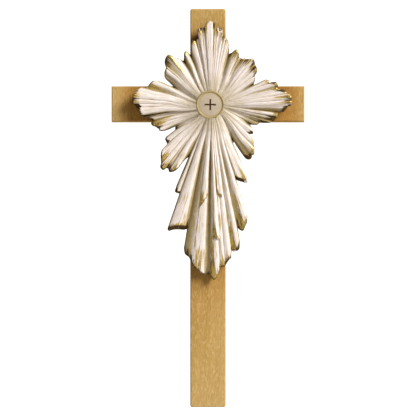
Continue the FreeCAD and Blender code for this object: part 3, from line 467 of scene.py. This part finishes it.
def bent(angle, radius):
    """Compass angle of a point after the folds' bend round the hub."""
    turn = np.interp(angle, [b[0] for b in HUB_BEND], [b[1] for b in HUB_BEND])
    share = np.clip((HUB_BEND_REACH - radius) / (HUB_BEND_REACH - HUB_BEND_FULL), 0.0, 1.2)
    return angle + turn * share ** 1.5


def place(angle, radius, height):
    """Points in metres at this compass angle, at these radii and heights above the bars."""
    turned = np.radians(bent(angle, radius))
    return np.stack([HUB_X + radius * np.sin(turned), np.broadcast_to(FRONT_Y - height, radius.shape),
                     HUB_Z + radius * np.cos(turned)], axis=-1) * MM


def strip(left, right, left_radii, right_radii):
    """Triangles between two neighbouring columns, taken outwards in order of radius."""
    i, j, out = 0, 0, []
    while i < len(left) - 1 or j < len(right) - 1:
        take_left = j == len(right) - 1 or (i < len(left) - 1 and left_radii[i + 1] <= right_radii[j + 1])
        if take_left:
            out.append((left[i], right[j], left[i + 1]))
            i += 1
        else:
            out.append((left[i], right[j], right[j + 1]))
            j += 1
    return out


def carve_relief():
    """The carving as one closed mesh: rays, side wall and back, with its finish and painted shade as point
    attributes.
    """
    columns = all_columns()
    points, gild, patina, dark, fan = [], [], [], [], []
    rows, walls, feet = [], [], []
    start = 0
    for c in columns:
        n = len(c["radii"])
        rows.append(range(start, start + n))
        points.append(place(c["angle"], c["radii"], c["height"]))
        rim, top = c["radii"][-1], c["height"][-1]
        lip = max(top - LIP, top / 2)
        under = np.array((rim, rim, rim - UNDERCUT))
        points.append(place(c["angle"], under, np.array((top - WALL_TOP, lip, 0.0))))
        walls.append((start + n, start + n + 1))
        feet.append(start + n + 2)
        start += n + 3
        gild.append(np.append(c["gild"], WALL_GILD))
        patina.append(np.append(c["patina"], WALL_PATINA))
        dark.append(np.append(c["dark"], WALL_DARK))
        along = np.append(c["radii"], under)
        fan.append(np.stack([np.full(n + 3, c["angle"]), along, np.zeros(n + 3)], axis=-1))
    centre_top, centre_back = start, start + 1
    points.append(place(0.0, np.zeros(1), HUB_HEIGHT))
    points.append(place(0.0, np.zeros(1), 0.0))
    for values, pair in ((gild, MIDDLE_GILD), (patina, MIDDLE_PATINA), (dark, MIDDLE_DARK)):
        values.append(np.array(pair))
    fan.append(np.zeros((2, 3)))

    faces = []
    for k, row in enumerate(rows):
        nxt = (k + 1) % len(rows)
        other = rows[nxt]
        faces.append((centre_top, row[0], other[0]))
        faces += strip(row, other, columns[k]["radii"], columns[nxt]["radii"])
        rings = [(row[-1], other[-1]), (walls[k][0], walls[nxt][0]), (walls[k][1], walls[nxt][1]),
                 (feet[k], feet[nxt])]
        for (a, b), (c, d) in zip(rings, rings[1:]):
            faces += [(a, c, b), (b, c, d)]
        faces.append((centre_back, feet[nxt], feet[k]))

    points = np.concatenate(points)
    off_middle = np.hypot(points[:, 0] / MM - MEDALLION_X, points[:, 2] / MM - MEDALLION_Z)
    under_disc = (off_middle < RIM_RADIUS - SOCKET_INSET) & (points[:, 1] / MM < FRONT_Y - SOCKET_DEPTH)
    points[under_disc, 1] = (FRONT_Y - SEAT_HEIGHT) * MM

    mesh = bpy.data.meshes.new("carved_rays")
    mesh.from_pydata(points.tolist(), [], [f[::-1] for f in faces])
    for name, values in (("gild", gild), ("patina", patina), ("dark", dark)):
        layer = mesh.attributes.new(name, "FLOAT", "POINT")
        layer.data.foreach_set("value", np.concatenate(values).astype(np.float32))
    layer = mesh.attributes.new("fan", "FLOAT_VECTOR", "POINT")
    layer.data.foreach_set("vector", np.concatenate(fan).astype(np.float32).ravel())
    mesh.update()
    mesh.shade_smooth()
    mesh.set_sharp_from_angle(angle=math.radians(SHARP_EDGE))
    relief = bpy.data.objects.new("carved_rays", mesh)
    bpy.context.collection.objects.link(relief)
    print(f"carved_rays: {len(mesh.vertices)} points, {len(mesh.polygons)} faces")
    return relief


# ---------------------------------------------------------------- materials

class Nodes:
    """A small helper that builds a node material one node at a time."""

    def __init__(self, name):
        self.material = bpy.data.materials.new(name)
        self.material.use_nodes = True
        self.tree = self.material.node_tree
        self.tree.nodes.clear()
        self.output = self.add("ShaderNodeOutputMaterial")
        self.shader = self.add("ShaderNodeBsdfPrincipled")
        self.tree.links.new(self.shader.outputs[0], self.output.inputs["Surface"])

    def add(self, kind, settings=None, **inputs):
        node = self.tree.nodes.new(kind)
        for key, value in (settings or {}).items():
            setattr(node, key, value)
        for key, value in inputs.items():
            self.put(node, key.replace("_", " "), value)
        return node

    def put(self, node, key, value):
        socket = node.inputs[int(key[1:])] if key[0] == "#" else node.inputs[key]
        if isinstance(value, bpy.types.NodeSocket):
            self.tree.links.new(value, socket)
        else:
            socket.default_value = value

    def attribute(self, name, output="Fac"):
        return self.add("ShaderNodeAttribute", {"attribute_name": name}).outputs[output]

    def place(self, scale, source=None):
        """Object coordinates, stretched by scale."""
        source = source or self.add("ShaderNodeTexCoord").outputs["Object"]
        mapping = self.add("ShaderNodeMapping", Vector=source, Scale=scale)
        return mapping.outputs[0]

    def noise(self, vector, scale, detail=3.0, rough=0.5):
        node = self.add("ShaderNodeTexNoise", Vector=vector, Scale=scale, Detail=detail, Roughness=rough)
        return node.outputs["Fac"]

    def ramp(self, value, low, high, out_low=0.0, out_high=1.0):
        node = self.add("ShaderNodeMapRange", {"interpolation_type": "SMOOTHSTEP"})
        for key, item in (("Value", value), ("From Min", low), ("From Max", high), ("To Min", out_low),
                          ("To Max", out_high)):
            self.put(node, key, item)
        return node.outputs["Result"]

    def math(self, operation, first, second=0.0, third=0.0):
        node = self.add("ShaderNodeMath", {"operation": operation})
        for slot, item in enumerate((first, second, third)):
            self.put(node, f"#{slot}", item)
        return node.outputs[0]

    def mix(self, share, first, second, blend="MIX"):
        node = self.add("ShaderNodeMix", {"data_type": "RGBA", "blend_type": blend})
        self.put(node, "#0", share)
        self.put(node, "#6", first)
        self.put(node, "#7", second)
        return node.outputs[2]

    def bump(self, height, strength, distance, normal=None):
        node = self.add("ShaderNodeBump", Height=height, Strength=strength, Distance=distance)
        if normal is not None:
            self.put(node, "Normal", normal)
        return node.outputs[0]

    def finish(self, **inputs):
        for key, value in inputs.items():
            self.put(self.shader, key.replace("_", " "), value)
        return self.material


def colour(hex_code):
    """A screen colour as linear values."""
    out = []
    for k in (0, 2, 4):
        c = int(hex_code[k:k + 2], 16) / 255
        out.append(c / 12.92 if c <= 0.04045 else ((c + 0.055) / 1.055) ** 2.4)
    return (*out, 1.0)


def beech():
    """Planed beech: soft bands, short ray flecks and pores, all upright, with painted shade darker and warmer
    round the carving.
    """
    n = Nodes("beech")
    bands = n.noise(n.place((70.0, 70.0, 3.0)), 1.6, 3.0, 0.55)
    drift = n.noise(n.place((12.0, 12.0, 5.0)), 1.0, 2.0)
    streaks = n.noise(n.place((420.0, 420.0, 22.0)), 1.0, 4.0, 0.6)
    flecks = n.noise(n.place((900.0, 900.0, 260.0)), 1.0, 2.0, 0.5)
    pores = n.noise(n.place((2600.0, 2600.0, 260.0)), 1.0, 2.0, 0.5)
    base = n.mix(n.ramp(bands, 0.3, 0.7), colour("b69658"), colour("c1a268"))
    base = n.mix(n.ramp(drift, 0.35, 0.7, 0.0, 0.45), base, colour("c6ac7f"))
    base = n.mix(n.ramp(streaks, 0.35, 0.75, 0.0, 0.45), base, colour("aa8b4c"))
    base = n.mix(n.ramp(flecks, 0.48, 0.68, 0.0, 0.6), base, colour("d0b684"))
    base = n.mix(n.ramp(pores, 0.6, 0.72, 0.0, 0.45), base, colour("7d5a2a"))

    # Painted shade: the bars are darker and warmer round the carving, where its shade falls, fading at the
    # sides, above and below.
    at = n.add("ShaderNodeSeparateXYZ", Vector=n.add("ShaderNodeTexCoord").outputs["Object"])
    across = n.math("ABSOLUTE", n.math("SUBTRACT", at.outputs["X"], HUB_X * MM))
    sides = n.ramp(across, PAINTED_SHADE_SIDES[0] * MM, PAINTED_SHADE_SIDES[1] * MM, 1.0, 0.0)
    above = n.ramp(at.outputs["Z"], PAINTED_SHADE_TOP[0] * MM, PAINTED_SHADE_TOP[1] * MM, 1.0, 0.0)
    below = n.math("POWER", n.math("DIVIDE", at.outputs["Z"], PAINTED_SHADE_FOOT * MM), PAINTED_SHADE_FALL)
    darkening = n.math("MINIMUM", n.math("MINIMUM", sides, above), below)
    darkening = n.math("MULTIPLY", n.math("MINIMUM", darkening, 1.0), n.ramp(drift, 0.2, 0.8, 0.65, 0.95))
    base = n.mix(darkening, base, PAINTED_SHADE_COLOUR, "MULTIPLY")
    relief = n.math("ADD", n.math("MULTIPLY", streaks, 0.6), n.math("MULTIPLY", pores, 0.4))
    return n.finish(Base_Color=base, Roughness=n.ramp(streaks, 0.3, 0.7, 0.54, 0.66),
                    Normal=n.bump(relief, 0.25, 0.0003), Specular_IOR_Level=0.25)


def carving():
    """Ivory paint with a pearly bloom, olive patina in the folds, worn gilding at the tips, and dark stain
    with painted shade at the ends, with painted shade in the deep folds near the rim and along the lower-left
    outline.
    """
    n = Nodes("carving")
    fan = n.attribute("fan", "Vector")
    gild, patina, dark = n.attribute("gild"), n.attribute("patina"), n.attribute("dark")
    specks = n.noise(n.place((1.0, 1.0, 1.0)), 900.0, 3.0, 0.6)
    spots = n.noise(n.place((1.0, 1.0, 1.0)), 380.0, 4.0, 0.6)
    clouds = n.noise(n.place((1.0, 1.0, 1.0)), 110.0, 3.0)
    brush = n.noise(n.place((0.55, 0.05, 1.0), fan), 1.0, 4.0, 0.6)
    hair = n.noise(n.place((1.5, 0.07, 1.0), fan), 1.0, 3.0, 0.6)

    ivory = n.mix(n.ramp(clouds, 0.35, 0.65), colour("e5ddd8"), colour("dcd4cc"))
    ivory = n.mix(n.ramp(spots, 0.45, 0.7, 0.0, 0.6), ivory, colour("e8dbdb"))
    ivory = n.mix(n.ramp(hair, 0.42, 0.72, 0.0, 0.55), ivory, colour("cbbda6"))
    ivory = n.mix(n.ramp(specks, 0.55, 0.75, 0.0, 0.3), ivory, colour("bcb09a"))
    olive = n.mix(n.ramp(spots, 0.3, 0.7), colour("9a8b62"), colour("b4a685"))
    olive = n.mix(n.ramp(patina, 0.6, 1.0, 0.0, 0.6), olive, colour("8b7438"))
    streaky = n.math("ADD", patina, n.ramp(brush, 0.3, 0.7, -0.18, 0.22))
    surface = n.mix(n.ramp(streaky, 0.10, 0.85, 0.0, 0.92), ivory, olive)

    from_hub = n.add("ShaderNodeSeparateXYZ", Vector=fan).outputs["Y"]
    lines = n.math("MULTIPLY", n.ramp(hair, 0.56, 0.68), n.ramp(from_hub, 16.0, 48.0, 0.15, 0.75))
    surface = n.mix(lines, surface, colour("ab9150"))
    gold = n.mix(n.ramp(hair, 0.4, 0.6), colour("735820"), colour("cbb063"))
    gold = n.mix(n.ramp(specks, 0.5, 0.72, 0.0, 0.6), gold, colour("efe0ac"))
    ragged = n.math("ADD", gild, n.ramp(hair, 0.3, 0.7, -0.34, 0.34))
    gold_mask = n.ramp(ragged, 0.42, 0.66)
    surface = n.mix(gold_mask, surface, gold)
    # Dark brown for the dark stain, and for painted shade in the folds, along the lower-left outline and
    # below the leaves.
    stain_and_shade_mask = n.ramp(n.math("ADD", dark, n.ramp(hair, 0.3, 0.7, -0.25, 0.25)), 0.35, 0.75)
    surface = n.mix(stain_and_shade_mask, surface, n.mix(n.ramp(specks, 0.35, 0.65), colour("33260a"), colour("644c1c")))

    bare = n.math("SUBTRACT", 1.0, stain_and_shade_mask)
    metal = n.math("MULTIPLY", n.math("MULTIPLY", gold_mask, bare), 0.4)
    rough = n.math("ADD", n.ramp(gold_mask, 0.0, 1.0, 0.45, 0.34), n.math("MULTIPLY", stain_and_shade_mask, 0.3))
    grain = n.math("ADD", n.math("MULTIPLY", hair, 0.75), n.math("MULTIPLY", specks, 0.25))
    return n.finish(Base_Color=surface, Metallic=metal, Roughness=rough,
                    Normal=n.bump(grain, 0.5, 0.0012), Specular_IOR_Level=0.3)


def plain_finish(name, first, second, scale, roughness, metallic=0.0, bump=0.2, distance=0.0002):
    """A finish with mottled colour, uneven gloss and a fine surface."""
    n = Nodes(name)
    mottle = n.noise(n.place((1.0, 1.0, 1.0)), scale, 4.0, 0.6)
    fine = n.noise(n.place((1.0, 1.0, 1.0)), scale * 6, 2.0)
    return n.finish(Base_Color=n.mix(n.ramp(mottle, 0.3, 0.7), colour(first), colour(second)),
                    Metallic=metallic,
                    Roughness=n.ramp(fine, 0.3, 0.7, roughness - 0.07, roughness + 0.07),
                    Normal=n.bump(fine, bump, distance))


def medallion():
    """Matt beige-grey wash with speckles, and dark brown in the engraved cross."""
    n = Nodes("medallion")
    spots = n.noise(n.place((1.0, 1.0, 1.0)), 700.0, 3.0, 0.6)
    clouds = n.noise(n.place((1.0, 1.0, 1.0)), 160.0, 3.0)
    wobble = n.noise(n.place((1.0, 1.0, 1.0)), 900.0, 2.0)
    at = n.add("ShaderNodeSeparateXYZ", Vector=n.add("ShaderNodeTexCoord").outputs["Object"])
    across = n.math("ABSOLUTE", n.math("SUBTRACT", at.outputs["X"], MEDALLION_X * MM))
    up = n.math("ABSOLUTE", n.math("SUBTRACT", at.outputs["Z"], MEDALLION_Z * MM))
    edge = n.ramp(wobble, 0.3, 0.7, -EMBLEM_WOBBLE * MM, EMBLEM_WOBBLE * MM)
    half_stroke, half_span, blur = EMBLEM_STROKE * MM / 2, EMBLEM_SPAN * MM / 2, EMBLEM_BLUR * MM

    def bar(short, long):
        inside_short = n.ramp(n.math("ADD", short, edge), half_stroke - blur, half_stroke + blur, 1.0, 0.0)
        inside_long = n.ramp(n.math("ADD", long, edge), half_span - blur, half_span + blur, 1.0, 0.0)
        return n.math("MULTIPLY", inside_short, inside_long)

    ink = n.math("MAXIMUM", bar(across, up), bar(up, across))
    wash = n.mix(n.ramp(clouds, 0.3, 0.7), colour("bbae9a"), colour("b4a894"))
    wash = n.mix(n.ramp(spots, 0.5, 0.75, 0.0, 0.5), wash, colour("a79780"))
    from_middle = n.math("SQRT", n.math("ADD", n.math("POWER", across, 2.0), n.math("POWER", up, 2.0)))
    edge_tone = n.ramp(from_middle, (DISC_RADIUS - DISC_EDGE_TONE) * MM, DISC_RADIUS * MM, 0.0, 0.6)
    wash = n.mix(edge_tone, wash, colour("b7a071"))
    base = n.mix(ink, wash, colour("4a2f1c"))
    return n.finish(Base_Color=base, Roughness=n.ramp(spots, 0.3, 0.7, 0.5, 0.65),
                    Normal=n.bump(spots, 0.25, 0.0002), Specular_IOR_Level=0.35)


def dress(node, material):
    """Give a carried-over CAD node its finish."""
    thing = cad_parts[node]
    thing.data.materials.clear()
    thing.data.materials.append(material)


# ---------------------------------------------------------------- light, floor and camera

LENS = 150.0
SENSOR = 36.0
VIEW_HEIGHT = 0.334          # what the frame takes in at the bars' front face
SKY_TINT = (1.0, 0.86, 0.66, 1.0)
SKY_STRENGTH = 0.1
BACKDROP = (1.0, 1.0, 1.0, 1.0)
FLOOR_RADIUS = 2.2
FLOOR_Z = -0.6


def area_light(name, place_at, power, size, tint):
    """A square lamp aimed at the middle of the cross."""
    lamp = bpy.data.lights.new(name, "AREA")
    lamp.energy, lamp.size, lamp.color = power, size, tint
    thing = bpy.data.objects.new(name, lamp)
    bpy.context.collection.objects.link(thing)
    thing.location = place_at
    aim = Vector((0.0, 0.0, MIDDLE_Z)) - Vector(place_at)
    thing.rotation_euler = aim.to_track_quat("-Z", "Y").to_euler()


def set_stage():
    """World, lamps, pale floor and the camera square to the front."""
    world = bpy.data.worlds.new("studio")
    bpy.context.scene.world = world
    world.use_nodes = True
    tree = world.node_tree
    tree.nodes.clear()
    out = tree.nodes.new("ShaderNodeOutputWorld")
    pick = tree.nodes.new("ShaderNodeMixShader")
    path = tree.nodes.new("ShaderNodeLightPath")
    soft, backdrop = tree.nodes.new("ShaderNodeBackground"), tree.nodes.new("ShaderNodeBackground")
    soft.inputs["Color"].default_value = SKY_TINT
    soft.inputs["Strength"].default_value = SKY_STRENGTH
    backdrop.inputs["Strength"].default_value = 1.0
    backdrop.inputs["Color"].default_value = BACKDROP
    tree.links.new(path.outputs["Is Camera Ray"], pick.inputs[0])
    tree.links.new(soft.outputs[0], pick.inputs[1])
    tree.links.new(backdrop.outputs[0], pick.inputs[2])
    tree.links.new(pick.outputs[0], out.inputs["Surface"])

    area_light("key", (1.92, -1.45, 1.77), 118.0, 1.4, (1.0, 0.98, 0.98))
    area_light("fill", (-2.4, -1.3, 0.9), 8.0, 1.6, (1.0, 0.95, 0.88))
    area_light("back", (-0.6, 1.8, 1.8), 28.0, 1.2, (1.0, 1.0, 1.0))

    bpy.ops.mesh.primitive_circle_add(vertices=96, radius=FLOOR_RADIUS, fill_type="NGON",
                                     location=(0, 0, FLOOR_Z))
    floor = bpy.context.object
    floor.name = "floor"
    floor.data.materials.append(plain_finish("pale_floor", "e9e8e5", "e5e4e0", 3.0, 0.7, bump=0.02))

    scene = bpy.context.scene
    scene.view_settings.view_transform = "Standard"
    scene.view_settings.look = "Medium High Contrast"
    lens = bpy.data.cameras.new("camera")
    lens.lens, lens.sensor_width = LENS, SENSOR
    camera = bpy.data.objects.new("camera", lens)
    bpy.context.collection.objects.link(camera)
    distance = VIEW_HEIGHT * LENS / SENSOR
    camera.location = (0.0, FRONT_Y * MM - distance, MIDDLE_Z)
    camera.rotation_euler = (math.radians(90), 0.0, 0.0)
    scene.camera = camera


# ---------------------------------------------------------------- the model

set_stage()

relief = carve_relief()
relief.data.materials.append(carving())
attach(relief, "cross")
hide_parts("ray_relief")

wood = beech()
dress("upright_beam", wood)
dress("crossbar", wood)
dress("medallion_disc", medallion())
dress("medallion_rim", plain_finish("old_gold", "a59569", "b0a078", 500.0, 0.5, metallic=0.1))
brass = plain_finish("brass", "b8923f", "c9a858", 400.0, 0.3, metallic=1.0, bump=0.1)
for node in ("hanger_strap", "hanger_ring", "hanger_screws"):
    dress(node, brass)
dress("relief_screws", plain_finish("zinc", "9c9c98", "b4b4b0", 600.0, 0.36, metallic=1.0, bump=0.1))
dress("wall_pads", plain_finish("felt", "4a3826", "5c4832", 900.0, 0.92, bump=0.8, distance=0.0006))
